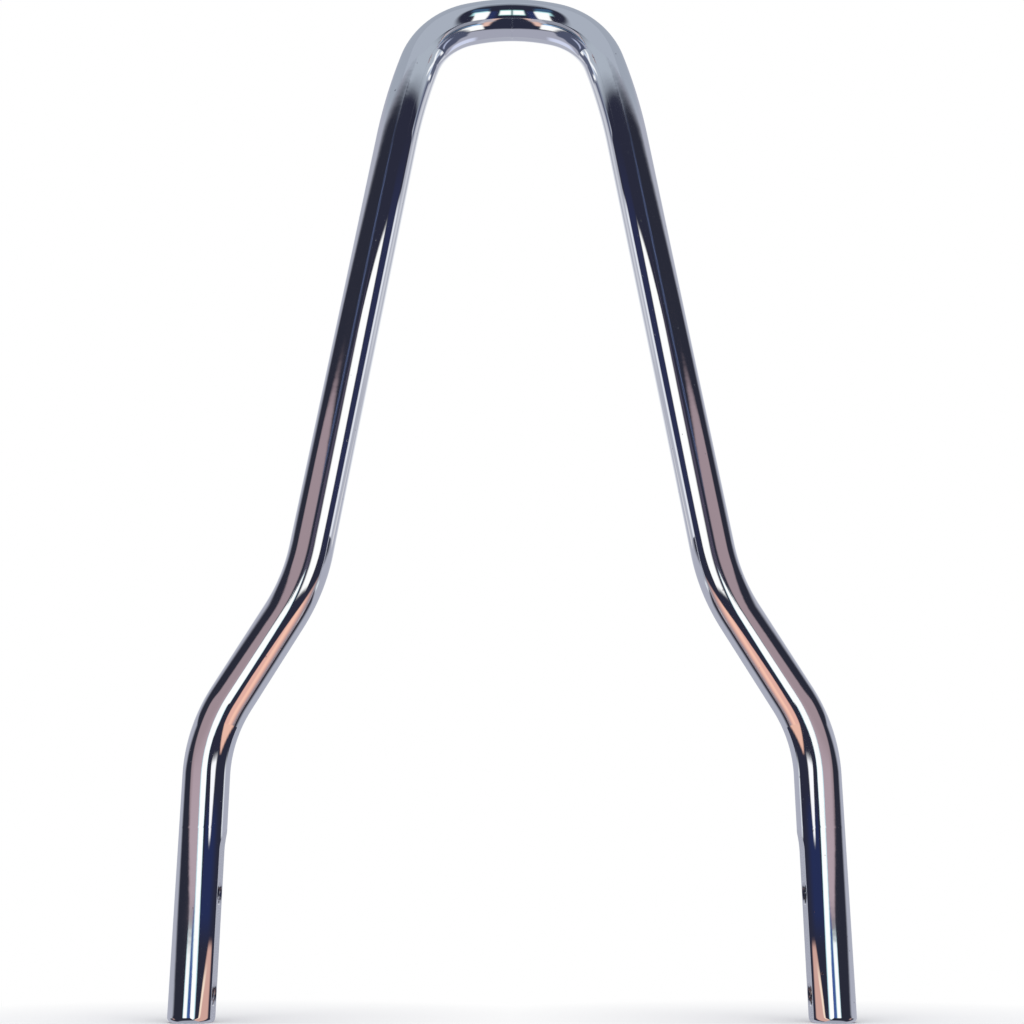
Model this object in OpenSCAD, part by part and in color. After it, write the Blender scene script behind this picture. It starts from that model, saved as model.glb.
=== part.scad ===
// Sissy bar for the back of a motorbike seat.
// One round bar is bent in a single plane into a tall, narrow arch. Each side runs down from
// a tight top corner, leans outwards, steps out at a knee and an ankle, and ends in an
// upright mounting leg with a milled flat and two tapped holes on its inner side.
// The bar stands in the XZ plane, centred on Z, with its cut ends on Z = 0.

/* [Bar] */
// Diameter of the round bar
bar_d = 19.05; // [17:0.05:22]
// Height from the cut ends to the top of the crown
overall_h = 460; // [430:1:520]
// Distance between the centre lines of the two mounting legs
leg_spacing = 249; // [235:1:285]

/* [Top bends] */
// Bend radius of the crown, to the centre line of the bar
crown_r = 87; // [60:1:120]
// Turn from the middle of the crown to each corner, in degrees
crown_turn = 13.5; // [10:0.5:18]
// Bend radius of each top corner
corner_r = 32.5; // [26:0.5:42]
// Bend radius of the shoulder below each corner
shoulder_r = 265; // [180:5:320]
// Turn of each shoulder, in degrees
shoulder_turn = 9; // [5:0.5:12]

/* [Side bends] */
// Lean of each upper leg away from upright, in degrees
upper_lean = 9.25; // [7:0.25:11]
// Bend radius at the knee, where a leg steps outwards
knee_r = 85; // [60:1:100]
// Slope of the step away from upright, in degrees
step_lean = 30.25; // [27:0.25:38]
// Bend radius at the ankle, where a leg turns upright
ankle_r = 62; // [45:1:80]
// Straight length of each mounting leg, below the ankle
leg_l = 95; // [85:1:115]

/* [Flats] */
// Depth of the flat milled on the inner side of each leg
flat_depth = 1.5; // [1:0.1:3]
// Length of the flat above the centre of the upper hole
flat_over = 16.5; // [10:0.5:20]
// Radius of the cutter, which leaves the curved run-out above the flat
cutter_r = 25; // [15:1:35]

/* [Holes] */
// Height of the lower hole above the cut end
hole_h = 10.3; // [8:0.1:14]
// Distance between the two holes of a leg
hole_gap = 38.1; // [32:0.1:42]
// Core diameter of the thread
core_d = 6.6; // [5:0.1:8]
// Diameter of the countersink where it meets the flat
sink_d = 8.8; // [8.2:0.1:10]
// Depth of each hole at its full diameter
hole_depth = 13; // [9:0.5:14]
// Point angle of the drill that made the holes, in degrees
drill_angle = 118; // [90:1:135]

/* [Ends] */
// Radius of the rounded edge at each cut end
end_r = 2.2; // [0.5:0.1:4]

/* [Hidden] */
$fn = 96;
chrome = [0.77, 0.79, 0.83];
slack = 1;
// A bar thins a little where it is bent. Each piece of it also runs this far into the next.
thinning = 0.02;
reach = 0.1;
bar_r = bar_d / 2;
leg_x = leg_spacing / 2;
flat_x = leg_x - bar_r + flat_depth;
flat_l = hole_h + hole_gap + flat_over;

// A heading is the angle that the centre line has turned clockwise from level, so 0 runs
// along +X and 90 runs straight down. Points are [x, z] on the right-hand side.
upper_heading = 90 - upper_lean;
step_heading = 90 - step_lean;
corner_heading = upper_heading - shoulder_turn;

function along(heading) = [cos(heading), -sin(heading)];
function from_centre(heading) = [sin(heading), cos(heading)];
function turning(from, to) = to > from ? 1 : -1;
function bend_move(r, from, to) = turning(from, to) * r * (from_centre(to) - from_centre(from));
function cross_2d(a, b) = a[0] * b[1] - a[1] * b[0];
function total(moves, i = 0) = i < len(moves) ? moves[i] + total(moves, i + 1) : [0, 0];

// The moves of the bends and the leg don't depend on the two free straights. What they leave
// of the height and the spacing is shared between the upper leg and the step.
crown_top = [0, overall_h - bar_r];
set_moves = [
    bend_move(crown_r, 0, crown_turn),
    bend_move(corner_r, crown_turn, corner_heading),
    bend_move(shoulder_r, corner_heading, upper_heading),
    bend_move(knee_r, upper_heading, step_heading),
    bend_move(ankle_r, step_heading, 90),
    leg_l * along(90)
];
left_over = [leg_x, 0] - crown_top - total(set_moves);
upper_l = cross_2d(left_over, along(step_heading)) / cross_2d(along(upper_heading), along(step_heading));
step_l = cross_2d(along(upper_heading), left_over) / cross_2d(along(upper_heading), along(step_heading));

// Each row is a straight length, then the radius of the bend after it, its new heading and
// its steps of thinning. The tightest bend thins the most, and neighbours never thin alike.
bend_rows = [
    [0, crown_r, crown_turn, 0],
    [0, corner_r, corner_heading, 2],
    [0, shoulder_r, upper_heading, 1],
    [upper_l, knee_r, step_heading, 1],
    [step_l, ankle_r, 90, 1]
];

function heading_before(i) = i == 0 ? 0 : bend_rows[i - 1][2];
function straight_start(i) = i == 0
    ? crown_top
    : bend_start(i - 1) + bend_move(bend_rows[i - 1][1], heading_before(i - 1), bend_rows[i - 1][2]);
function bend_start(i) = straight_start(i) + bend_rows[i][0] * along(heading_before(i));

module straight_run(start, heading, length) {
    translate([start[0], 0, start[1]])
        rotate([0, 90 + heading, 0])
            translate([0, 0, -reach])
                cylinder(r = bar_r, h = length + 2 * reach);
}

module bend_run(start, r, from, to, steps) {
    side = turning(from, to);
    middle = start - side * r * from_centre(from);
    first_angle = side > 0 ? 90 - to : 270 - from;
    reach_angle = reach / r * 180 / PI;
    translate([middle[0], 0, middle[1]])
        rotate([90, 0, 0])
            rotate(first_angle - reach_angle)
                rotate_extrude(angle = abs(to - from) + 2 * reach_angle)
                    translate([r, 0])
                        circle(r = bar_r - steps * thinning);
}

// The crown is one bend from corner to corner, over the middle of the arch.
module crown_run() {
    left_end = crown_top - bend_move(crown_r, -crown_turn, 0);
    bend_run(left_end, crown_r, -crown_turn, crown_turn, bend_rows[0][3]);
}

// The upright leg, with the edge of its cut end rounded over.
module leg_run() {
    translate([leg_x, 0, 0])
        rotate_extrude() {
            translate([0, end_r])
                square([bar_r, leg_l - end_r + reach]);
            square([bar_r - end_r, end_r]);
            intersection() {
                translate([bar_r - end_r, end_r])
                    circle(r = end_r);
                translate([bar_r - end_r, 0])
                    square(end_r);
            }
        }
}

module side_run() {
    for (i = [1:len(bend_rows) - 1]) {
        if (bend_rows[i][0] > 0)
            straight_run(straight_start(i), heading_before(i), bend_rows[i][0]);
        bend_run(bend_start(i), bend_rows[i][1], heading_before(i), bend_rows[i][2], bend_rows[i][3]);
    }
    leg_run();
}

// What the milling cutter takes off: a block up to the full length of the flat, and above it
// the round of the cutter itself, which comes out of the bar along a curve.
module flat_cut() {
    translate([flat_x - cutter_r, -bar_d, -slack])
        cube([cutter_r, 2 * bar_d, flat_l + slack]);
    translate([flat_x - cutter_r, bar_d, flat_l])
        rotate([90, 0, 0])
            cutter_quarter();
}

// A quarter of the cutter's disc, standing on the block.
module cutter_quarter() {
    linear_extrude(2 * bar_d)
        intersection() {
            circle(r = cutter_r);
            square(cutter_r);
        }
}

// One tapped hole: countersink, core and the cone that the drill's point leaves.
module hole_cut() {
    core_r = core_d / 2;
    sink_r = sink_d / 2;
    point_l = core_r / tan(drill_angle / 2);
    rotate([0, 90, 0])
        rotate_extrude()
            polygon([
                [0, -slack],
                [sink_r + slack, -slack],
                [core_r, sink_r - core_r],
                [core_r, hole_depth],
                [0, hole_depth + point_l]
            ]);
}

module side_cuts() {
    flat_cut();
    for (z = [hole_h, hole_h + hole_gap])
        translate([flat_x, 0, z])
            hole_cut();
}

module bar() {
    color(chrome)
        difference() {
            union() {
                crown_run();
                side_run();
                mirror([1, 0, 0])
                    side_run();
            }
            side_cuts();
            mirror([1, 0, 0])
                side_cuts();
        }
}

bar();
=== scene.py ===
# %% [markdown]
# # A chromed sissy bar
#
# A sissy bar is the tall arch that stands behind a motorbike's seat. This one is a single
# round steel bar, bent in one plane and chrome plated. Each foot has a milled flat with two
# tapped holes. The lesson draws that bar as one closed skin, gives it its finishes and
# lights it like a catalogue picture.

import bpy
import numpy as np
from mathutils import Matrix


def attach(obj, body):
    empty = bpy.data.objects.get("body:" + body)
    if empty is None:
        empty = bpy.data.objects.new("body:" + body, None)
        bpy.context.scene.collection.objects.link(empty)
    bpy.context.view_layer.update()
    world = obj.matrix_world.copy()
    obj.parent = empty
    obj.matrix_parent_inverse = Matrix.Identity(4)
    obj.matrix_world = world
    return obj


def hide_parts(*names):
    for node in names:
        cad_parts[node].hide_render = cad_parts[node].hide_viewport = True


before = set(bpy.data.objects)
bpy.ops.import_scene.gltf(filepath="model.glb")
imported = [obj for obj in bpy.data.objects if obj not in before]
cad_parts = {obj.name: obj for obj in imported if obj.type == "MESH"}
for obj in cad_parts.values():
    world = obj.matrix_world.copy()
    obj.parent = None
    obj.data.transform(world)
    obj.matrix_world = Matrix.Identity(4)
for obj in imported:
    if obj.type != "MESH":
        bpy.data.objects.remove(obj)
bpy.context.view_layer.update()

# %% [markdown]
# ## The camera
#
# The photographer stood close to the bar and held the camera low, a little above the level
# of the feet, aimed up at the crown. The bar's edges drawn back through a 50 mm lens fit
# that place. A lens shift could keep the legs from leaning together, but the photograph
# shows the lean, so the camera is simply tilted.

# %% Make the camera
camera_data = bpy.data.cameras.new("camera")
camera_data.lens = 50
camera_data.sensor_width = 36
tilt_up = 16.1
camera = bpy.data.objects.new("camera", camera_data)
camera.location = (0, -0.5864, 0.0373)
camera.rotation_euler = (np.radians(90 + tilt_up), 0, 0)
bpy.context.scene.collection.objects.link(camera)
bpy.context.scene.camera = camera
print("camera at", tuple(round(c, 4) for c in camera.location))

# %% [markdown]
# ## The centre line
#
# A bender feeds the bar between rollers, so its centre line is made of true arcs and true
# straights, each one tangent to the next. A Bezier curve would be quick to draw, but its
# bends would only be nearly round, and a mirror finish shows that. Here each run is worked
# out exactly, as rows of points with the direction that faces out of the arch.
# All sizes are in millimetres until the mesh is made.

# %% Sizes of the bar
# Blender's unit is the metre, and this is a millimetre of it.
MM = 0.001
bar_r = 9.525
overall_h = 460.0
leg_x = 124.5
leg_l = 95.0
# The radius of each bend and the heading after it, from the crown down to the ankle.
# A heading is how far the line has turned from level, in degrees.
bends = {"crown": (87, 13.5), "corner": (32.5, 71.75), "shoulder": (265, 80.75),
         "knee": (85, 59.75), "ankle": (62, 90)}


def along(heading):
    """The way the line runs at a heading: its cosine along X, and its sine down Z."""
    return np.stack([np.cos(heading), -np.sin(heading)], -1)


def outward(heading):
    """The way out of the arch at a heading: a quarter turn to the left of the line."""
    return np.stack([np.sin(heading), np.cos(heading)], -1)


def bend_move(radius, before, after):
    """From a bend's start to its end: the radius times the change of the outward direction."""
    return np.sign(after - before) * radius * (outward(after) - outward(before))


# %% Share out the two free straights
headings = np.radians([0] + [heading for _, heading in bends.values()])
radii = [radius for radius, _ in bends.values()]
bend_moves = [bend_move(radius, before, after)
              for radius, before, after in zip(radii, headings[:-1], headings[1:])]
crown_top = np.array([0, overall_h - bar_r])
left_over = np.array([leg_x, leg_l]) - crown_top - sum(bend_moves)
directions = np.column_stack([along(headings[3]), along(headings[4])])
upper_l, step_l = np.linalg.solve(directions, left_over)
print("upper straight %.2f mm, step straight %.2f mm" % (upper_l, step_l))

# %% Lay out the rows of one side
def bend_rows(start, radius, before, after, spacing):
    """Points on a bend: the start plus the radius times the turn of the outward direction."""
    count = int(np.ceil(radius * abs(after - before) / spacing))
    heading = np.linspace(before, after, count + 1)[1:]
    side = np.sign(after - before)
    points = start + side * radius * (outward(heading) - outward(before))
    return points, heading


def straight_rows(start, length, heading, spacing):
    """Points on a straight: the start plus even steps along its heading."""
    count = int(np.ceil(length / spacing))
    steps = np.linspace(0, length, count + 1)[1:]
    return start + steps[:, None] * along(heading), np.full(count, heading)


# The straight before each bend, and how far apart the rows lie on the bends and straights.
straights = [0, 0, 0, upper_l, step_l]
bend_spacing, straight_spacing = [0.9, 0.7, 1.3, 1.1, 1.1], 2.2
runs = [(crown_top[None], np.zeros(1))]
for i, length in enumerate(straights):
    if length:
        runs.append(straight_rows(runs[-1][0][-1], length, headings[i], straight_spacing))
    before, after = headings[i:i + 2]
    runs.append(bend_rows(runs[-1][0][-1], radii[i], before, after, bend_spacing[i]))
arch_points = np.concatenate([points for points, _ in runs])
arch_headings = np.concatenate([heading for _, heading in runs])
print(len(arch_points), "rows from the crown to the leg, which starts at",
      arch_points[-1].round(3))

# %% [markdown]
# ## The foot: a rounded end and a milled flat
#
# A milling cutter planes the inner side of each foot down by 1.5 mm so that the side plate
# can lie flat against it, and leaves the curve of its own round above. The usual way is a
# boolean, which leaves long thin faces that mirror badly. Here the round bar's grid is slit
# along its inner side instead, and the lips of the slit part exactly as wide as the cut is.
# Each row of the foot therefore has three numbers: its height, its radius, and half the
# angle that the cut takes out of its circle.

# %% Rows of the foot
end_r = 2.2
flat_depth = 1.5
cutter_r = 25.0
hole_heights = (10.3, 48.4)
flat_l = hole_heights[1] + 16.5
core_r, mouth_r, hole_depth = 3.3, 4.4, 13.0
hole_side = 16

cut_at = bar_r - flat_depth
flat_half_angle = np.arccos(cut_at / bar_r)
flat_half_w = bar_r * np.sin(flat_half_angle)
run_out = np.sqrt(cutter_r**2 - (cutter_r - flat_depth) ** 2)

# Heights from the top down: the round leg, the run-out with its closest rows where the cut
# begins, and the flat, with as many rows beside each hole as its square has cells.
above = np.linspace(leg_l, flat_l + run_out, 19)[1:]
leaving = flat_l + run_out * (1 - np.linspace(0, 1, 25)[1:] ** 2)
stops = [flat_l]
for height in hole_heights[::-1]:
    stops += [height + flat_half_w, height - flat_half_w]
stops.append(end_r)
counts = [9, hole_side, 20, hole_side, 3]
planed = [np.linspace(high, low, count + 1)[1:]
          for high, low, count in zip(stops[:-1], stops[1:], counts)]
foot_z = np.concatenate([above, leaving, *planed])
foot_r = np.full(len(foot_z), bar_r)
past_flat = np.clip(foot_z - flat_l, 0, run_out)
cutter_edge = cutter_r - np.sqrt(cutter_r**2 - past_flat**2)
cut_cos = np.clip((cut_at + cutter_edge) / bar_r, 0, 1)
foot_half = np.where(foot_z > flat_l + run_out - 1e-6, 0, np.arccos(cut_cos))

# The rounded edge of the end, with its closest rows where the flat runs out of it, and last
# the flat end itself, drawn in to its middle.
first_cut = np.arcsin((cut_at - bar_r + end_r) / end_r)
quarter = first_cut + (np.pi / 2 - first_cut) * np.linspace(0, 1, 21)[:-1][::-1] ** 1.7
quarter = np.concatenate([quarter, np.linspace(first_cut, 0, 5)[1:]])
round_r = bar_r - end_r + end_r * np.sin(quarter)
round_half = np.where(quarter > first_cut + 1e-9, np.arccos(np.minimum(cut_at / round_r, 1)), 0)
disc_r = (bar_r - end_r) * np.linspace(1, 0, 7)[1:]

foot_z = np.concatenate([foot_z, end_r * (1 - np.cos(quarter)), np.zeros(len(disc_r))])
foot_r = np.concatenate([foot_r, round_r, disc_r])
foot_half = np.concatenate([foot_half, round_half, np.zeros(len(disc_r))])
print("flat %.2f mm wide, run-out %.2f mm long, %d rows in a foot"
      % (2 * flat_half_w, run_out, len(foot_z)))

# %% [markdown]
# ## The skin of the round bar
#
# The bar is a circle carried along the centre line. Its two parameters are the row along
# the line and the angle round it, which starts on the inner side, where the cut is. The
# left half is the right half mirrored, so one set of rows serves both.

# %% Carry the circle along the line
round_count = 80
foot_points = np.column_stack([np.full(len(foot_z), leg_x), foot_z])
side_points = np.concatenate([arch_points, foot_points])
side_headings = np.concatenate([arch_headings, np.full(len(foot_z), np.pi / 2)])
side_r = np.concatenate([np.full(len(arch_points), bar_r), foot_r])
side_half = np.concatenate([np.zeros(len(arch_points)), foot_half])
mirror = np.array([-1, 1])


def both_sides(rows, left_rows):
    """The left side from foot to crown, then the right side from crown to foot."""
    return np.concatenate([left_rows[:0:-1], rows])


row_points = both_sides(side_points, side_points * mirror)
row_out = both_sides(outward(side_headings), outward(side_headings) * mirror)
row_r = both_sides(side_r, side_r)
row_half = both_sides(side_half, side_half)


def on_row(points, out, distance, y):
    """A point seen from the centre line: some distance inwards, and y from front to back."""
    flat = points - distance[..., None] * out
    return np.stack([flat[..., 0], y, flat[..., 1]], -1)


# The angle runs once round each circle, from one lip of the cut to the other.
turn = np.linspace(0, 1, round_count + 1)
angle = row_half[:, None] + (2 * np.pi - 2 * row_half[:, None]) * turn
skin = on_row(row_points[:, None], row_out[:, None], row_r[:, None] * np.cos(angle),
              row_r[:, None] * np.sin(angle))
print("skin grid:", skin.shape[:2])

# %% [markdown]
# ## The flats, their holes and their threads
#
# A flat is a strip between the two lips of the slit. Round each hole the strip's rows would
# cut across the circle, so a square of the strip is left out there, and rings that change
# from that square to a circle take its place. Inside, the hole is a surface too: its radius
# depends on the depth and the angle. A coarse inch thread of 18 turns to the inch is a ridge
# whose depth moves on by one pitch in each turn, behind a short countersink.

# %% The strip of a flat, and the squares left out for the holes
across = np.linspace(-1, 1, hole_side + 1)
cut_rows = np.nonzero(side_half > 0)[0]
cut_rows = np.concatenate([[cut_rows[0] - 1], cut_rows, [cut_rows[-1] + 1]])


def flat_strip(side):
    """Across a row of the cut: even steps from lip to lip, at the cut's distance inwards."""
    sign = np.array([side, 1])
    points, out = side_points[cut_rows] * sign, outward(side_headings[cut_rows]) * sign
    inwards = side_r[cut_rows] * np.cos(side_half[cut_rows])
    half_w = side_r[cut_rows] * np.sin(side_half[cut_rows])
    inwards = np.repeat(inwards[:, None], hole_side + 1, 1)
    return on_row(points[:, None], out[:, None], inwards, half_w[:, None] * across)


strip_z = side_points[cut_rows, 1]
square_tops = [int(np.abs(strip_z - height - flat_half_w).argmin())
               for height in hole_heights[::-1]]
print("strip rows:", len(cut_rows), "squares start at rows", square_tops)

# %% The surface of a tapped hole
pitch = 25.4 / 18
thread_depth = 0.66
crest = 0.16
# The groove runs out over a short length, and leaves the end of the hole plain.
plain_end, runs_out_over = 1.4, 1.2
# Rows are a little closer in the countersink, which ends just before this depth.
sink_rows_to = 1.2
drill_half_angle = 59


def thread_radius(depth, angle):
    """Core radius, plus how far a 60 degree groove has opened at this depth and angle."""
    place = np.mod(depth / pitch - angle / (2 * np.pi), 1)
    from_crest = np.abs(place - 0.5) * pitch
    groove = np.clip((from_crest - crest / 2) * np.sqrt(3), 0, thread_depth)
    fade = np.clip((hole_depth - plain_end - depth) / runs_out_over, 0, 1)
    return core_r + groove * fade


def hole_surfaces(strip, top, height, side):
    """The rings round a hole, and its wall: the radius at each depth, along the same angles."""
    square = strip[top:top + hole_side + 1]
    rim = np.concatenate([square[0, :-1], square[:-1, -1], square[-1, :0:-1], square[:0:-1, 0]])
    rim = np.concatenate([rim, rim[:1]])
    middle = np.array([side * (leg_x - cut_at), 0, height])
    unit = rim - middle
    unit /= np.linalg.norm(unit, axis=1, keepdims=True)
    steps = np.linspace(0, 1, 7)[:, None, None]
    rings = rim + steps * (middle + mouth_r * unit - rim)

    clockwise = np.arctan2(-side * unit[:, 1], unit[:, 2])
    depth = np.concatenate([np.linspace(0, sink_rows_to, 10),
                            np.linspace(sink_rows_to, hole_depth, 76)[1:]])[:, None]
    wall_r = np.maximum(mouth_r - depth, thread_radius(depth, clockwise))
    drill_r = core_r * np.linspace(1, 0, 5)[1:, None]
    drill_depth = hole_depth + (core_r - drill_r) / np.tan(np.radians(drill_half_angle))
    depth = np.concatenate([depth, drill_depth])
    wall_r = np.concatenate([wall_r, np.repeat(drill_r, len(rim), 1)])
    into = np.array([side, 0, 0])
    wall = middle + depth[..., None] * into + wall_r[..., None] * unit
    return rings, wall


# %% [markdown]
# ## Sewing the surfaces into one skin
#
# Every grid shares its border points with its neighbour, so merging the doubles closes the
# bar. The lips of the cut and the mouths of the holes stay sharp, as a cutter leaves them,
# and all the rest is shaded smooth.

# %% Collect the grids
SKIN, PLANED, TAPPED = range(3)
patches = [(skin, SKIN)]
for side in (1, -1):
    strip = flat_strip(side)
    first = 0
    for top, height in zip(square_tops, hole_heights[::-1]):
        patches.append((strip[first:top + 1], PLANED))
        rings, wall = hole_surfaces(strip, top, height, side)
        patches += [(rings, PLANED), (wall, TAPPED)]
        first = top + hole_side
    patches.append((strip[first:], PLANED))


def grid_faces(rows, columns, start):
    """Four corners for each cell of a grid, numbered row by row from start."""
    corner = start + np.arange(rows * columns).reshape(rows, columns)
    cells = [corner[:-1, :-1], corner[:-1, 1:], corner[1:, 1:], corner[1:, :-1]]
    return np.stack(cells, -1).reshape(-1, 4)


starts = np.cumsum([0] + [grid.shape[0] * grid.shape[1] for grid, _ in patches])
corners = np.concatenate([grid.reshape(-1, 3) for grid, _ in patches]) * MM
faces = [grid_faces(*grid.shape[:2], start) for (grid, _), start in zip(patches, starts)]
finish_of_face = np.concatenate([np.full(len(f), kind) for f, (_, kind) in zip(faces, patches)])
print(len(patches), "grids,", len(finish_of_face), "cells")

# %% Merge the borders and face the skin outwards
import bmesh

bar_mesh = bpy.data.meshes.new("bent_bar")
bar_mesh.from_pydata(corners, [], np.concatenate(faces))
bar_mesh.polygons.foreach_set("material_index", finish_of_face.astype(np.int32))
sewing = bmesh.new()
sewing.from_mesh(bar_mesh)
bmesh.ops.remove_doubles(sewing, verts=sewing.verts, dist=2e-6)
bmesh.ops.recalc_face_normals(sewing, faces=sewing.faces)
open_edges = sum(1 for edge in sewing.edges if len(edge.link_faces) != 2)
litres = sewing.calc_volume() * 1000
sewing.to_mesh(bar_mesh)
sewing.free()
print("open edges: %d, volume %.4f litres, %d faces"
      % (open_edges, litres, len(bar_mesh.polygons)))

# %% Keep the machined edges sharp
def sharp_edges(mesh, fold):
    """An edge is sharp where its two faces differ in finish, or a thread folds past an angle."""
    loop_count, face_count = len(mesh.loops), len(mesh.polygons)
    loop_edge = np.empty(loop_count, np.int32)
    mesh.loops.foreach_get("edge_index", loop_edge)
    loop_start = np.empty(face_count, np.int32)
    mesh.polygons.foreach_get("loop_start", loop_start)
    finish = np.empty(face_count, np.int32)
    mesh.polygons.foreach_get("material_index", finish)
    normal = np.empty(face_count * 3, np.float32)
    mesh.polygons.foreach_get("normal", normal)
    normal = normal.reshape(-1, 3)
    loop_face = np.searchsorted(loop_start, np.arange(loop_count), side="right") - 1
    pairs = loop_face[np.argsort(loop_edge, kind="stable")].reshape(-1, 2)
    folded = (normal[pairs[:, 0]] * normal[pairs[:, 1]]).sum(1) < np.cos(fold)
    tapped = (finish[pairs] == TAPPED).all(1)
    return (finish[pairs[:, 0]] != finish[pairs[:, 1]]) | (folded & tapped)


bar_mesh.polygons.foreach_set("use_smooth", np.ones(len(bar_mesh.polygons), bool))
sharp = sharp_edges(bar_mesh, fold=np.radians(28))
mark = bar_mesh.attributes.new("sharp_edge", "BOOLEAN", "EDGE")
mark.data.foreach_set("value", sharp)
bar = bpy.data.objects.new("bent_bar", bar_mesh)
bpy.context.scene.collection.objects.link(bar)
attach(bar, "root")
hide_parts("bar")
print("sharp edges:", int(sharp.sum()))

# %% [markdown]
# ## The finishes
#
# Chrome plate is a mirror over polished steel, so what it shows is mostly the room. What
# makes it read as plated metal is the little it adds: a faint orange peel from the polishing
# wheel, hairlines, and a few pits in the plating. All of them are laid out on Object
# coordinates, so a noise scale of 160 means 160 swells to the metre. The distance of a bump
# is a height in metres, which its strength scales down. The flats were milled before plating
# and still show the cutter's close arcs, and the threads are plated thinly and stay darker
# and rougher.

# %% A helper for node materials
def new_material(name, colour):
    """A metal with a constant colour on the shader's own socket, and its node tree."""
    material = bpy.data.materials.new(name)
    material.use_nodes = True
    nodes, links = material.node_tree.nodes, material.node_tree.links
    shader = nodes["Principled BSDF"]
    shader.inputs["Metallic"].default_value = 1.0
    shader.inputs["Base Color"].default_value = (*colour, 1)
    return material, nodes, links, shader


def add_noise(nodes, links, coordinates, scale, detail, stretch=(1, 1, 1)):
    """A noise pattern on the given coordinates, stretched along its axes."""
    mapping = nodes.new("ShaderNodeMapping")
    mapping.inputs["Scale"].default_value = stretch
    noise = nodes.new("ShaderNodeTexNoise")
    noise.inputs["Scale"].default_value = scale
    noise.inputs["Detail"].default_value = detail
    links.new(coordinates, mapping.inputs["Vector"])
    links.new(mapping.outputs["Vector"], noise.inputs["Vector"])
    return noise.outputs["Fac"]


def remap(nodes, links, value, low, high, to_low, to_high):
    """A value's stretch from low to high, moved to run from to_low to to_high."""
    node = nodes.new("ShaderNodeMapRange")
    node.inputs["From Min"].default_value = low
    node.inputs["From Max"].default_value = high
    node.inputs["To Min"].default_value = to_low
    node.inputs["To Max"].default_value = to_high
    links.new(value, node.inputs["Value"])
    return node.outputs["Result"]


def uneven_roughness(nodes, links, shader, noise, smoothest, roughest):
    """A roughness that follows a noise, whose values lie mostly between 0.3 and 0.7."""
    roughness = remap(nodes, links, noise, 0.3, 0.7, smoothest, roughest)
    links.new(roughness, shader.inputs["Roughness"])


def add_bump(nodes, links, height, distance, strength, under=None):
    """A bump of a height in metres, on top of an earlier one if there is one."""
    bump = nodes.new("ShaderNodeBump")
    bump.inputs["Distance"].default_value = distance
    bump.inputs["Strength"].default_value = strength
    links.new(height, bump.inputs["Height"])
    if under is not None:
        links.new(under, bump.inputs["Normal"])
    return bump.outputs["Normal"]


# %% Chrome plate
PLATE, PITTED = (0.83, 0.84, 0.87), (0.50, 0.50, 0.54)
chrome, nodes, links, shader = new_material("chrome_plate", PLATE)
here = nodes.new("ShaderNodeTexCoord").outputs["Object"]
peel = add_noise(nodes, links, here, 160, 2)
hairlines = add_noise(nodes, links, here, 900, 3, (1, 1, 0.08))
# A pit is the heart of a Voronoi cell, and a second noise gives only a few cells any size.
pits = nodes.new("ShaderNodeTexVoronoi")
pits.inputs["Scale"].default_value = 260
links.new(here, pits.inputs["Vector"])
rare = add_noise(nodes, links, here, 420, 1)
pit_size = remap(nodes, links, rare, 0.56, 0.72, 0.0, 0.16)
in_pit = nodes.new("ShaderNodeMath")
in_pit.operation = "LESS_THAN"
links.new(pits.outputs["Distance"], in_pit.inputs[0])
links.new(pit_size, in_pit.inputs[1])
pit_mask = in_pit.outputs[0]

smooth_bump = add_bump(nodes, links, peel, 0.00012, 0.10)
fine_bump = add_bump(nodes, links, hairlines, 0.00001, 0.12, smooth_bump)
pit_bump = add_bump(nodes, links, pit_mask, 0.00008, 0.35, fine_bump)
links.new(pit_bump, shader.inputs["Normal"])
wear = add_noise(nodes, links, here, 45, 4)
uneven_roughness(nodes, links, shader, wear, 0.025, 0.075)

tint = nodes.new("ShaderNodeMix")
tint.data_type = "RGBA"
tint.inputs["A"].default_value = (*PLATE, 1)
tint.inputs["B"].default_value = (*PITTED, 1)
links.new(pit_mask, tint.inputs["Factor"])
links.new(tint.outputs["Result"], shader.inputs["Base Color"])
bar_mesh.materials.append(chrome)
print("chrome plate made")

# %% Milled flats
milled, nodes, links, shader = new_material("milled_flat", (0.74, 0.75, 0.78))
here = nodes.new("ShaderNodeTexCoord").outputs["Object"]
arcs = nodes.new("ShaderNodeTexWave")
arcs.wave_type = "RINGS"
arcs.rings_direction = "X"
arcs.inputs["Scale"].default_value = 700
arcs.inputs["Distortion"].default_value = 1.5
arcs.inputs["Detail"].default_value = 2
centred = nodes.new("ShaderNodeMapping")
centred.inputs["Location"].default_value = (0, -0.012, 0)
links.new(here, centred.inputs["Vector"])
links.new(centred.outputs["Vector"], arcs.inputs["Vector"])
grain = add_noise(nodes, links, here, 1500, 3)
arc_bump = add_bump(nodes, links, arcs.outputs["Fac"], 0.00004, 0.30)
links.new(add_bump(nodes, links, grain, 0.00002, 0.25, arc_bump), shader.inputs["Normal"])
uneven_roughness(nodes, links, shader, grain, 0.14, 0.32)
bar_mesh.materials.append(milled)

# %% Tapped holes
tapped, nodes, links, shader = new_material("tapped_thread", (0.68, 0.68, 0.71))
here = nodes.new("ShaderNodeTexCoord").outputs["Object"]
grain = add_noise(nodes, links, here, 2200, 3)
links.new(add_bump(nodes, links, grain, 0.00003, 0.3), shader.inputs["Normal"])
uneven_roughness(nodes, links, shader, grain, 0.10, 0.26)
bar_mesh.materials.append(tapped)
print("materials:", [m.name for m in bar_mesh.materials])

# %% [markdown]
# ## The floor and the light
#
# The bar stands on a pale sweep under one large soft lamp. The picture's background is
# white, so the sweep fades to the white of the world a short way from the feet, and keeps
# their soft shadow near them. The lamp and the sweep are left out of the mirror, because
# the next step makes everything that the chrome is to show.

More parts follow.
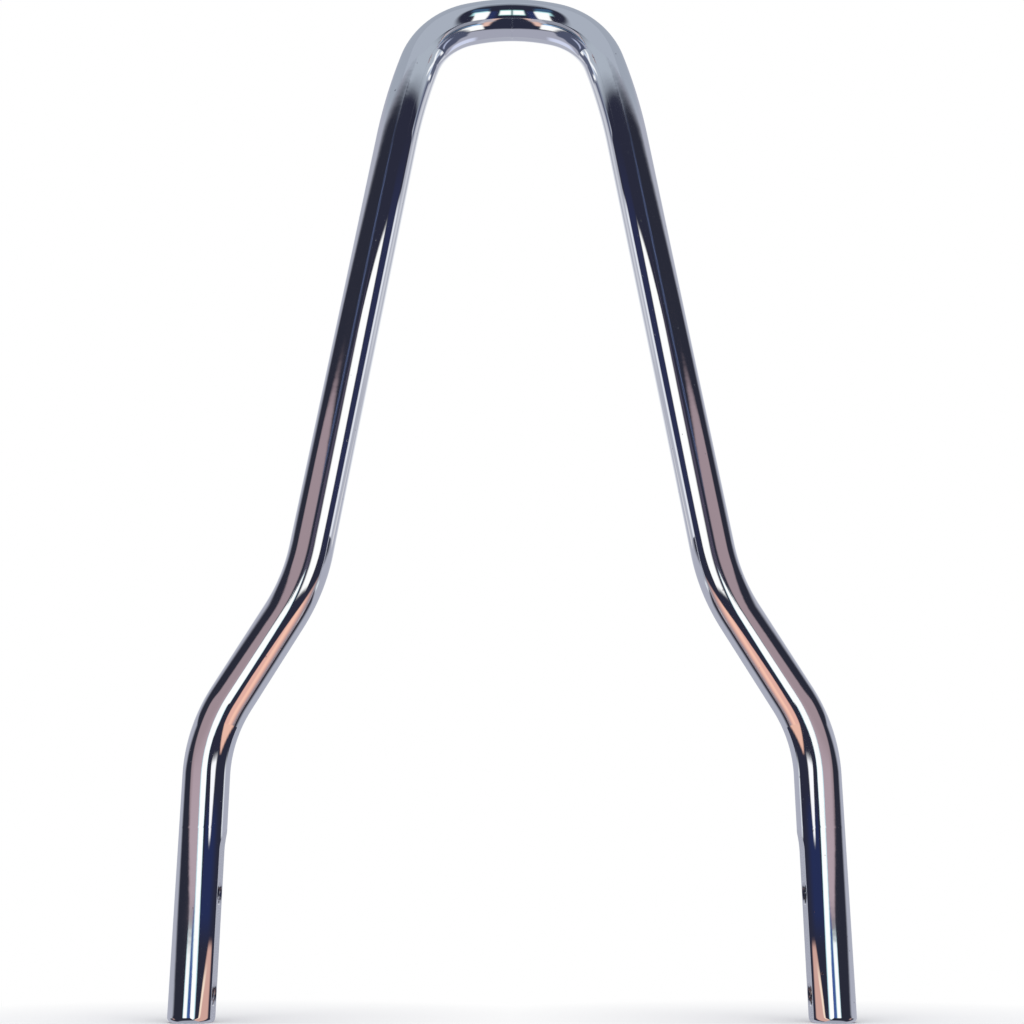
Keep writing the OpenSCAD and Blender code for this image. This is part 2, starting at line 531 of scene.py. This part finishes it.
# %% Pale sweep
# A disc of rings, whose cells are turned over so that they face up.
floor_mesh = bpy.data.meshes.new("pale_sweep")
ring = np.array([0, 0.05, 0.1, 0.2, 0.3, 0.45, 0.65, 0.9, 1.3, 2, 4, 9])
around = np.linspace(0, 2 * np.pi, 65)
sweep = np.stack([ring[:, None] * np.cos(around), ring[:, None] * np.sin(around),
                  np.zeros((len(ring), len(around)))], -1)
floor_mesh.from_pydata(sweep.reshape(-1, 3), [], grid_faces(len(ring), len(around), 0)[:, ::-1])
floor = bpy.data.objects.new("pale_sweep", floor_mesh)
bpy.context.scene.collection.objects.link(floor)

pale = bpy.data.materials.new("pale_sweep")
pale.use_nodes = True
nodes, links = pale.node_tree.nodes, pale.node_tree.links
paper = nodes["Principled BSDF"]
paper.inputs["Base Color"].default_value = (0.92, 0.92, 0.93, 1)
paper.inputs["Roughness"].default_value = 0.9
# To the camera, the paper turns into plain white light as it gets further from either foot.
glow = nodes.new("ShaderNodeEmission")
either_side = nodes.new("ShaderNodeVectorMath")
either_side.operation = "ABSOLUTE"
links.new(nodes.new("ShaderNodeTexCoord").outputs["Object"], either_side.inputs[0])
from_foot = nodes.new("ShaderNodeVectorMath")
from_foot.operation = "SUBTRACT"
from_foot.inputs[1].default_value = (leg_x * MM, 0, 0)
links.new(either_side.outputs["Vector"], from_foot.inputs[0])
distance = nodes.new("ShaderNodeVectorMath")
distance.operation = "LENGTH"
links.new(from_foot.outputs["Vector"], distance.inputs[0])
fade_from, fade_to = 0.02, 0.17
fade = remap(nodes, links, distance.outputs["Value"], fade_from, fade_to, 0, 1)
seen = nodes.new("ShaderNodeLightPath")
only_seen = nodes.new("ShaderNodeMath")
only_seen.operation = "MULTIPLY"
links.new(fade, only_seen.inputs[0])
links.new(seen.outputs["Is Camera Ray"], only_seen.inputs[1])
blend = nodes.new("ShaderNodeMixShader")
links.new(only_seen.outputs[0], blend.inputs["Fac"])
links.new(paper.outputs["BSDF"], blend.inputs[1])
links.new(glow.outputs["Emission"], blend.inputs[2])
links.new(blend.outputs["Shader"], nodes["Material Output"].inputs["Surface"])
floor_mesh.materials.append(pale)
floor.visible_glossy = False

# %% Soft lamp and white world
lamp_data = bpy.data.lights.new("soft_lamp", "AREA")
lamp_data.shape = "RECTANGLE"
lamp_data.size = 1.6
lamp_data.size_y = 1.2
lamp_data.energy = 26
lamp = bpy.data.objects.new("soft_lamp", lamp_data)
lamp.location = (0, -0.5, 1.9)
lamp.rotation_euler = (np.radians(15), 0, 0)
lamp.visible_glossy = False
lamp.visible_camera = False
bpy.context.scene.collection.objects.link(lamp)

# The camera sees the world as white, while all else gets a softer, slightly blue light.
world = bpy.data.worlds.new("white_room")
world.use_nodes = True
bpy.context.scene.world = world
nodes, links = world.node_tree.nodes, world.node_tree.links
room = nodes["Background"]
room.inputs["Color"].default_value = (0.78, 0.79, 0.82, 1)
room.inputs["Strength"].default_value = 0.55
white = nodes.new("ShaderNodeBackground")
white.inputs["Color"].default_value = (1, 1, 1, 1)
white.inputs["Strength"].default_value = 1
seen = nodes.new("ShaderNodeLightPath")
switch = nodes.new("ShaderNodeMixShader")
links.new(seen.outputs["Is Camera Ray"], switch.inputs["Fac"])
links.new(room.outputs["Background"], switch.inputs[1])
links.new(white.outputs["Background"], switch.inputs[2])
links.new(switch.outputs["Shader"], nodes["World Output"].inputs["Surface"])
bpy.context.scene.view_settings.view_transform = "Standard"
print("floor, lamp and world made")

# %% [markdown]
# ## The room in the mirror
#
# A chrome bar is lit by what it reflects, and bent bar bends the room with it, so every dark
# or pale line along this bar is one edge of one thing in the room. A few lamps would give
# shine, but not those lines. The room is built instead from sheets that glow softly: a dome
# for all that is far away, a board that stands between the legs, a low board inside each
# foot, and a folded card under and before the crown. The tone of each sheet is a function
# of two lengths or two angles, laid down in patches with soft edges. Only mirror rays see
# the sheets, so they stay out of the picture and cast no shadow.

# %% Tones and soft patches
# Every patch of the sheets gives its edges in degrees or millimetres, and after them the
# width over which it fades there.
def tone(red, green, blue):
    """A screen tone from 0 to 255 as light that the plate's own tint brings back to it."""
    screen = np.array([red, green, blue]) / 255
    light = np.where(screen < 0.04045, screen / 12.92, ((screen + 0.055) / 1.055) ** 2.4)
    return light / np.array(PLATE)


def rise(value, edge, soft):
    """From 0 to 1 as the value passes an edge, along a smooth curve as wide as soft."""
    t = np.clip((value - edge) / soft + 0.5, 0, 1)
    return t * t * (3 - 2 * t)


def below(value, edge, soft):
    """From 1 to 0 as the value passes an edge."""
    return 1 - rise(value, edge, soft)


def between(value, low, high, soft):
    """1 between two edges and 0 beyond them, with soft flanks."""
    return rise(value, low, soft) * below(value, high, soft)


def paint(ground, *patches):
    """A ground tone and the patches over it in their order, each as strong as its cover says.

    A patch is a tone, or a picture of its own, and a cover from 0 to 1 at each point.
    """
    picture = ground
    for patch, cover in patches:
        picture = picture + np.clip(cover, 0, 1)[..., None] * (patch - picture)
    return picture


WHITE, ICE = tone(254, 255, 255), tone(186, 226, 238)
DARK, PEACH = tone(41, 43, 60), tone(226, 175, 162)
print("tones ready, white is %.3f in linear light" % WHITE[0])

# %% A sheet that only mirror rays see
def glow_material(name, from_above):
    """Light of the tone that the sheet carries, and nothing at all on the back of a card."""
    material = bpy.data.materials.new(name)
    material.use_nodes = True
    nodes, links = material.node_tree.nodes, material.node_tree.links
    nodes.remove(nodes["Principled BSDF"])
    carried = nodes.new("ShaderNodeAttribute")
    carried.attribute_name = "tone"
    light = nodes.new("ShaderNodeEmission")
    links.new(carried.outputs["Color"], light.inputs["Color"])
    surface = light.outputs["Emission"]
    if from_above:
        face = nodes.new("ShaderNodeMixShader")
        links.new(nodes.new("ShaderNodeNewGeometry").outputs["Backfacing"], face.inputs["Fac"])
        links.new(surface, face.inputs[1])
        links.new(nodes.new("ShaderNodeBsdfTransparent").outputs["BSDF"], face.inputs[2])
        surface = face.outputs["Shader"]
    links.new(surface, nodes["Material Output"].inputs["Surface"])
    material.cycles.emission_sampling = "NONE"
    return material


def mirror_only(name, points, tones, from_above=False):
    """A grid that carries its tones and shows in reflections alone."""
    mesh = bpy.data.meshes.new(name)
    mesh.from_pydata(points.reshape(-1, 3), [], grid_faces(*points.shape[:2], 0))
    carried = mesh.attributes.new("tone", "FLOAT_COLOR", "POINT")
    values = np.concatenate([tones, np.ones((*tones.shape[:2], 1))], -1)
    carried.data.foreach_set("color", values.astype(np.float32).ravel())
    mesh.materials.append(glow_material(name, from_above))
    thing = bpy.data.objects.new(name, mesh)
    bpy.context.scene.collection.objects.link(thing)
    for ray in ("camera", "diffuse", "transmission", "volume_scatter", "shadow"):
        setattr(thing, "visible_" + ray, False)
    print(name, "with", len(mesh.polygons), "cells")


def steps_through(*stops):
    """Even steps from stop to stop, each stop given with the step that leads to it."""
    runs = [np.array([stops[0]])]
    for end, step in stops[1:]:
        start = runs[-1][-1]
        runs.append(np.linspace(start, end, int(np.ceil(abs(end - start) / step)) + 1)[1:])
    return np.concatenate(runs)


# %% [markdown]
# ### The dome
#
# Two angles name each point of the dome: how far it has turned off the camera's side, and
# how far it lifts above the level, both in degrees. It is dark round the camera and pale
# behind the bar, and its dark reaches round to a different angle at each lift. Faint
# flecks, a dusky pink wall and white stripes near the level are laid over the dark. Left
# and right are alike.

# %% Where the dark of the dome ends
# Each pair is a lift, and how far off the camera's side the dark reaches at that lift.
dark_reach = np.array([(-90, 114), (-14, 114), (-10, 94), (-5, 92), (-3, 88), (-2, 93), (0, 100),
                       (2, 104), (4, 109), (6, 111), (10, 106), (16, 100), (20, 97), (22, 117),
                       (32, 117), (34, 113), (36, 107), (38, 96), (42, 84), (90, 84)])


def dome_dark(off, lift):
    """1 inside the side edge of the pairs, above a low edge, and under a top edge that bows."""
    side = below(off, np.interp(lift, *dark_reach.T), 19 + 10 * rise(lift, 21, 2))
    top = 31.6 + 0.31 * off - 0.0027 * off**2
    return side * below(lift, top, 2.4 + 0.08 * np.minimum(off, 55)) * rise(lift, -56, 12)


# %% Paint the dome
WALL, BACK_WALL, SIDE_STRIP = tone(168, 171, 186), tone(226, 229, 236), tone(216, 222, 230)
CEILING, NEAR_CEILING, GROUND = tone(156, 164, 178), tone(170, 179, 193), tone(158, 161, 176)
NIGHT, FLECK, RUSSET = tone(41, 43, 56), tone(104, 122, 170), tone(152, 126, 126)
PINK, LIT_PINK, BLUE = tone(156, 138, 146), tone(174, 156, 166), tone(66, 90, 150)


def dome_tones(off, lift):
    """Pale walls and ceiling, the dark with its flecks, the pink wall, and the stripes."""
    flecks = 0.1 + 0.7 * rise(np.sin(5 * lift), 0.5, 0.8)
    flecks *= between(off, 3, 12, 7) * between(lift, 17, 31, 5)
    pink_top = 14 + 0.47 * off - 0.0042 * off**2
    pink_low = np.maximum(0.3, 0.5 + 0.11 * (off - 30))
    pink = between(off, 7, 68, 9) * rise(lift, pink_low, 1.5) * below(lift, pink_top, 2.5)

    # A stripe below the level on each side of the camera, and a third above it in the middle.
    under_level = rise(lift, -9, 4)
    from_stripe = np.abs(off - 22.5)
    middle_half = 2.2 + 2 * np.minimum(lift, 5) - 3.2 * np.clip(lift - 5.5, 0, 2.5)
    over_level = rise(lift, -1.5, 2) * below(lift, 8, 3)
    return paint(
        WALL,
        (BACK_WALL, rise(off, 150, 34) * between(lift, 11, 31, 10)),
        (SIDE_STRIP, between(off, 92, 106, 5) * between(lift, -11, -7.5, 2)),
        (CEILING, rise(lift, 41, 5)),
        (NEAR_CEILING, below(off, 24, 36) * between(lift, 30, 46, 14)),
        (GROUND, below(lift, -48, 26)),
        (NIGHT, dome_dark(off, lift)),
        (FLECK, flecks),
        (RUSSET, between(off, 82, 96.5, 7) * between(lift, -32, -12, 6)),
        (PINK, pink),
        (LIT_PINK, pink * below(lift, 9, 12) * below(off, 56, 16)),
        (BLUE, below(off, 13, 5) * below(lift, 0.2, 1.6) * under_level),
        (ICE, below(from_stripe, 10, 4) * below(lift, -0.5, 0.8) * under_level),
        (WHITE, below(from_stripe, 7.5, 4) * below(lift, -0.6, 0.8) * under_level),
        (ICE, below(off, middle_half + 3, 3) * over_level),
        (WHITE, below(off, middle_half, 3) * over_level))


dome_r = 60
turn_deg = steps_through(-180, (-120, 4), (120, 0.5), (180, 4))
lift_deg = steps_through(-90, (-34, 2), (-12, 1), (48, 0.4), (90, 2))
turn_deg, lift_deg = np.meshgrid(turn_deg, lift_deg)
turn_rad, lift_rad = np.radians(turn_deg), np.radians(lift_deg)
dome = dome_r * np.stack([np.sin(turn_rad) * np.cos(lift_rad),
                          -np.cos(turn_rad) * np.cos(lift_rad), np.sin(lift_rad)], -1)
mirror_only("room_dome", dome, dome_tones(np.abs(turn_deg), lift_deg))

# %% [markdown]
# ### The board between the legs
#
# The upper legs look inwards at each other, so a board that stands edge-on to the camera,
# midway between them, serves both. Its two lengths are the distance in front of the bar and
# the height, in millimetres. It is dark, with a white panel that gives the long bright line
# of the upper legs, a peach patch low down for the inner side of the step, and a sloping
# top edge over which the pale room shows in the shoulders. Its upper part goes on behind
# the bar, and the thin pale and dark lines of the inner rims come from there. They are
# placed by the turn at which a ray from the leg meets the board: 90 degrees is straight
# across, and more is towards the back.

# %% Paint the inner rims
RIM_PALE, RIM_RIDGE, RIM_HAZE = tone(172, 175, 188), tone(198, 201, 211), tone(206, 207, 214)
RIM_DARK, RIM_BRIGHT, RIM_GREY = tone(43, 45, 62), tone(224, 228, 238), tone(134, 142, 160)
CORNER_PALE, CORNER_LINE = tone(196, 208, 230), tone(90, 96, 118)


def rim_tones(turn, height):
    """Dark up to a turn that depends on the height, one bright line, then pale in bands."""
    dark_to = 90.5 + 9 * rise(height, 370, 12) - 22 * rise(height, 404, 10)
    corner_line = between(turn, 96, 107 + 12 * rise(height, 426, 4), 6)
    return paint(
        RIM_PALE,
        (RIM_RIDGE, between(turn, 114, 131, 9) * rise(height, 290, 40)),
        (RIM_HAZE, rise(turn, 122 + 0.2 * (height - 216), 10) * below(height, 330, 30)),
        (RIM_DARK, below(turn, dark_to, 7)),
        (RIM_BRIGHT, between(turn, 92.5, 104, 5) * below(height, 366, 14)),
        (RIM_GREY, below(turn, 97, 6) * rise(height, 406, 8)),
        (CORNER_PALE, below(turn, 95, 5) * rise(height, 425.5, 3)),
        (CORNER_LINE, corner_line * rise(height, 401, 8)))


# %% Paint the board
NIGHT_BLUE, PLUM, OVERHEAD = tone(42, 47, 78), tone(74, 70, 88), tone(168, 177, 190)
WARM_PEACH, DULL_PEACH, GLINT = tone(244, 194, 174), tone(158, 139, 144), tone(248, 251, 255)


def board_top(front):
    """The height of the sloping edge: level close to the bar, then a climb away from it."""
    return 414.5 + 0.62 * front**2 / (front + 60) - 2 * below(front, 18, 16)


def board_tones(front, height):
    """The dark, the panel, the peach patch, the far white stripe, the pale above, the rims."""
    panel_near = 53 + 0.0045 * np.maximum(235 - height, 0) ** 2
    panel = rise(front, panel_near, 9) * below(front, 196, 70) * between(height, 157, 363, 10)
    peach = below(height, 170 - 0.6 * front, 7) * below(front, 152, 26)
    stripe = 283 + 0.022 * np.maximum(130 - height, 0) ** 2 + 0.9 * np.maximum(height - 150, 0)
    low = below(height, 185 + 0.1 * front, 20)
    over = height - board_top(front)
    glint = between(front, 2.5, 15.5, 2.5) * between(height + 0.35 * front, 431.8, 434.8, 1)
    glint += between(front, -6.5, 3, 2) * between(height + 0.1 * front, 424.9, 427, 0.8)

    # The leaning leg comes closer to the board as it climbs.
    rim_front, leg_gap = 6, 110.6 - 0.152 * height
    turn = 90 + np.degrees(np.arctan((rim_front - front) / leg_gap))
    return paint(
        DARK,
        (NIGHT_BLUE, below(front, 50, 20) * between(height, 200, 380, 60)),
        (PLUM, rise(front, 240, 80) * between(height, 180, 420, 60)),
        (WHITE, panel),
        (PEACH, peach),
        (WARM_PEACH, peach * between(front, 44, 76, 26)),
        (DULL_PEACH, peach * below(front, 25, 40)),
        (ICE, low * rise(front, stripe, 40)),
        (WHITE, low * rise(front, stripe + 30, 40)),
        (OVERHEAD, 0.5 * rise(over, 0, 7) + 0.5 * rise(over, 5, 12)),
        (rim_tones(turn, height), below(front, 7, 2) * rise(turn, 89, 4)),
        (GLINT, glint))


def upright(side, front, height):
    """Points in metres on a sheet that stands edge-on to the camera."""
    return MM * np.stack([np.full_like(front, side), -front, height], -1)


# The rows lie a few millimetres apart up to a ledge under the sloping edge, and closer
# above it. They end just under the crown, and in front of the crown the last few steps
# carry them far above it.
under_crown, crown_front = 434, 30
near_steps = steps_through(3, (13, 0.7), (29.5, 1.5), (30.5, 1), (120, 2))
front = np.concatenate([near_steps, np.geomspace(120, 3000, 100)[1:]])
front, share = np.meshgrid(front, steps_through(0, (1, 1 / 200), (2, 1 / 70)))
bottom, ledge = -220, board_top(front) - 40
open_top = ledge + 100 + 1500 * rise(share, 1.98, 0.04)
top = np.where(front < crown_front, under_crown, open_top)
height = np.where(share <= 1, bottom + share * (ledge - bottom),
                  ledge + (share - 1) * (top - ledge))
mirror_only("light_board", upright(0, front, height), board_tones(front, height))

# %% Carry the board on behind the bar
front, height = np.meshgrid(np.linspace(-64, 3, 112),
                            steps_through(200, (390, 3), (under_crown, 0.7)))
mirror_only("rim_board", upright(0, front, height), board_tones(front, height))

# %% [markdown]
# ### The foot boards
#
# The feet look straight across at each other, from too low to share the board with the step
# above them. A second, lower board stands a little inside each foot. It carries a short
# white box, a wide dark blue field, the far white stripe, and peach at its top and bottom.

# %% Paint the foot boards
DEEP_BLUE, BOX_WHITE, TIP_PEACH = tone(37, 46, 84), tone(250, 251, 255), tone(232, 184, 166)
LOW_PEACH, CREAM, MIST = tone(204, 162, 152), tone(246, 224, 204), tone(214, 219, 228)


def foot_top(front):
    """The height of its top edge: 110, with a step up to 117 where the stripe passes."""
    return 110 + 7 * between(front, 36, 110, 12)


def foot_tones(front, height):
    """The dark blue, the stripe, the white box with its peach tip, and the peach below."""
    stripe = 62 + 0.0072 * np.minimum(height, 80) ** 2 - 36 * rise(height, 110.5, 5)
    drop = 101.5 - height
    box = between(front, 21 + 0.16 * drop, 42.5 - 0.31 * drop, 4) * rise(height, 70, 7)
    climb = height - 101.8
    tip = between(front, 14 - 1.15 * climb, 15 + 1.5 * climb, 3) * rise(climb, 0.5, 1.5)
    wedge = 16.3 + 0.6 * (25 - height)
    low = rise(front, 6.5, 3) * below(height, 29, 5)
    lip = low * between(front, wedge - 5.5, wedge, 3) * below(height, 18, 12)
    return paint(
        DARK,
        (DEEP_BLUE, between(front, 12, 62, 16) * between(height, 34, 84, 18)),
        (ICE, rise(front, stripe - 3, 12)),
        (WHITE, rise(front, stripe + 9, 16)),
        (BOX_WHITE, box * below(height, 101.4, 1.6)),
        (TIP_PEACH, tip),
        (LOW_PEACH, low * below(front, wedge, 3)),
        (CREAM, lip),
        (MIST, below(front, -0.8, 1) * between(height, 70, 100, 8)))


foot_bottom = -60
front = np.concatenate([steps_through(-4, (120, 1)), np.geomspace(120, 2000, 60)[1:]])
front, share = np.meshgrid(front, np.linspace(0, 1, 121))
height = foot_bottom + share * (foot_top(front) - foot_bottom)
for side in (-100, 100):
    mirror_only("foot_board", upright(side, front, height), foot_tones(front, height))

# %% [markdown]
# ### The folded card at the crown
#
# The front of the crown curves two ways at once, so it gathers a whole small picture: bright
# window shapes in a dark field, with a pale room round it. One leaf of the card lies level
# just under the crown, and shows only from above, so that the legs look past it. The other
# stands upright in front. The patches are placed by their distance from the middle and from
# the bar, or by their height, in millimetres.

# %% Paint the level leaf
LEAF_DARK, LEAF_PEACH, SKY = tone(41, 44, 62), tone(222, 184, 172), tone(150, 190, 230)
SLATE, SILVER, STEEL = tone(76, 82, 104), tone(196, 196, 208), tone(158, 164, 184)
GLOW, LILAC = tone(178, 186, 214), tone(206, 212, 236)
NEAR_GREY, FAR_GREY = tone(160, 162, 178), tone(160, 164, 178)
# Each pair is a distance in front, and how far from the middle the thin line runs there.
leaf_line = np.array([(-12, 18), (0, 18), (9, 17), (15, 16.9), (18, 15.9), (20, 14.9),
                      (24, 13.6), (28, 13), (33, 12.3), (38, 11.7), (43, 11.1), (60, 9.5)])


def level_tones(across, front):
    """A dark leaf with a bowed peach band, a white patch and a thin dark line outside it."""
    bow = 12.6 - 0.18 * front
    patch_end = 20 - 1.2 * np.maximum(across - 13.6, 0)
    line = np.interp(front, *leaf_line.T)
    steel_from = 14.5 - 0.5 * np.clip(across - 17, 0, 10)
    slope = front + 0.7 * across
    near = 6.6 + 0.12 * np.minimum(across, 15)
    near = near - 5 * rise(across, 15.6, 1.2) - 2.6 * rise(across, 18, 2)
    far_side = 0.75 * rise(front, 27, 6) * rise(across, 5.5, 2)
    return paint(
        LEAF_DARK,
        (SILVER, between(across, bow + 1, bow + 3.4, 1.2) * rise(front, 24, 4)),
        (LEAF_PEACH, between(across, bow - 1.6, bow + 1.2, 1.6) * rise(front, 15, 3)),
        (SKY, between(across, 10.6, 14, 1.5) * between(front, 18, 23.5, 2)),
        (WHITE, between(across, 10.2, 15.2, 0.9) * between(front, 9.5, patch_end, 1.5)),
        (SLATE, rise(across, 15.4, 0.8) * below(front, 20, 4)),
        (STEEL, rise(across, line + 0.9, 0.8) * rise(front, steel_from, 2)),
        (GLOW, between(slope, 22.4, 24, 1.2) * between(across, 18.6, 26, 2)),
        (NEAR_GREY, below(front, near, 2.2)),
        (LILAC, between(across, 14, 20, 3) * below(front, -2, 3)),
        (FAR_GREY, np.maximum(far_side, rise(front, 46, 6))))


leaf_z, leaf_front = 430, 30
across, front = np.meshgrid(np.linspace(-30, 30, 151), np.linspace(-12, 52, 161))
level_leaf = MM * np.stack([across, -front, np.full_like(across, leaf_z)], -1)
level_light = level_tones(np.abs(across), front)
# The columns run backwards, which turns the faces of the grid upwards.
mirror_only("crown_card_level", level_leaf[:, ::-1], level_light[:, ::-1], from_above=True)

# %% Paint the upright leaf
INDIGO, TEAL = tone(42, 52, 92), tone(62, 92, 124)
PALE_AQUA, AQUA = tone(176, 226, 232), tone(160, 216, 214)
FIELD, FIELD_SHADE = tone(166, 174, 188), tone(136, 144, 158)


def upright_tones(across, height):
    """A dark arch with two outer windows and a middle pair, in a pale field."""
    slant = height - 461 - 0.55 * (across - 14)
    window = between(across, 9.8, 15.2 + 0.11 * (height - 440), 0.9)
    under, above = np.maximum(457 - height, 0), np.maximum(height - 460, 0)
    arch = 24.6 - 0.026 * under**1.9 - 0.055 * above**1.55
    shade = rise(height, 485 - 0.02 * across**2, 14) * below(across, 18, 20)
    return paint(
        DARK,
        (INDIGO, between(across, 6.5, 11, 3) * below(height, 456, 6)),
        (TEAL, between(across, 11, 19.5, 3) * between(slant, -3, 7, 4)),
        (PALE_AQUA, between(across, 10.5, 18, 2) * between(height, 450, 458.2, 2.5)),
        (WHITE, window * between(height, 437.6, 455.6, 1.6)),
        (AQUA, between(across, 0.3, 5.4, 0.8) * between(height, 444.6, 458.4, 1.6)),
        (WHITE, between(across, 0.5, 5.2, 0.7) * between(height, 446, 456, 1.4)),
        (FIELD, rise(across, arch, 3 + 0.08 * np.maximum(height - 455, 0))),
        (FIELD_SHADE, shade * below(height, 505, 20)),
        (FIELD, rise(height, 505, 20)))


across = steps_through(-70, (-27, 3), (27, 0.4), (70, 3))
across, height = np.meshgrid(across, steps_through(437, (480, 0.4), (540, 2)))
upright_leaf = MM * np.stack([across, np.full_like(across, -leaf_front), height], -1)
mirror_only("crown_card_upright", upright_leaf, upright_tones(np.abs(across), height))
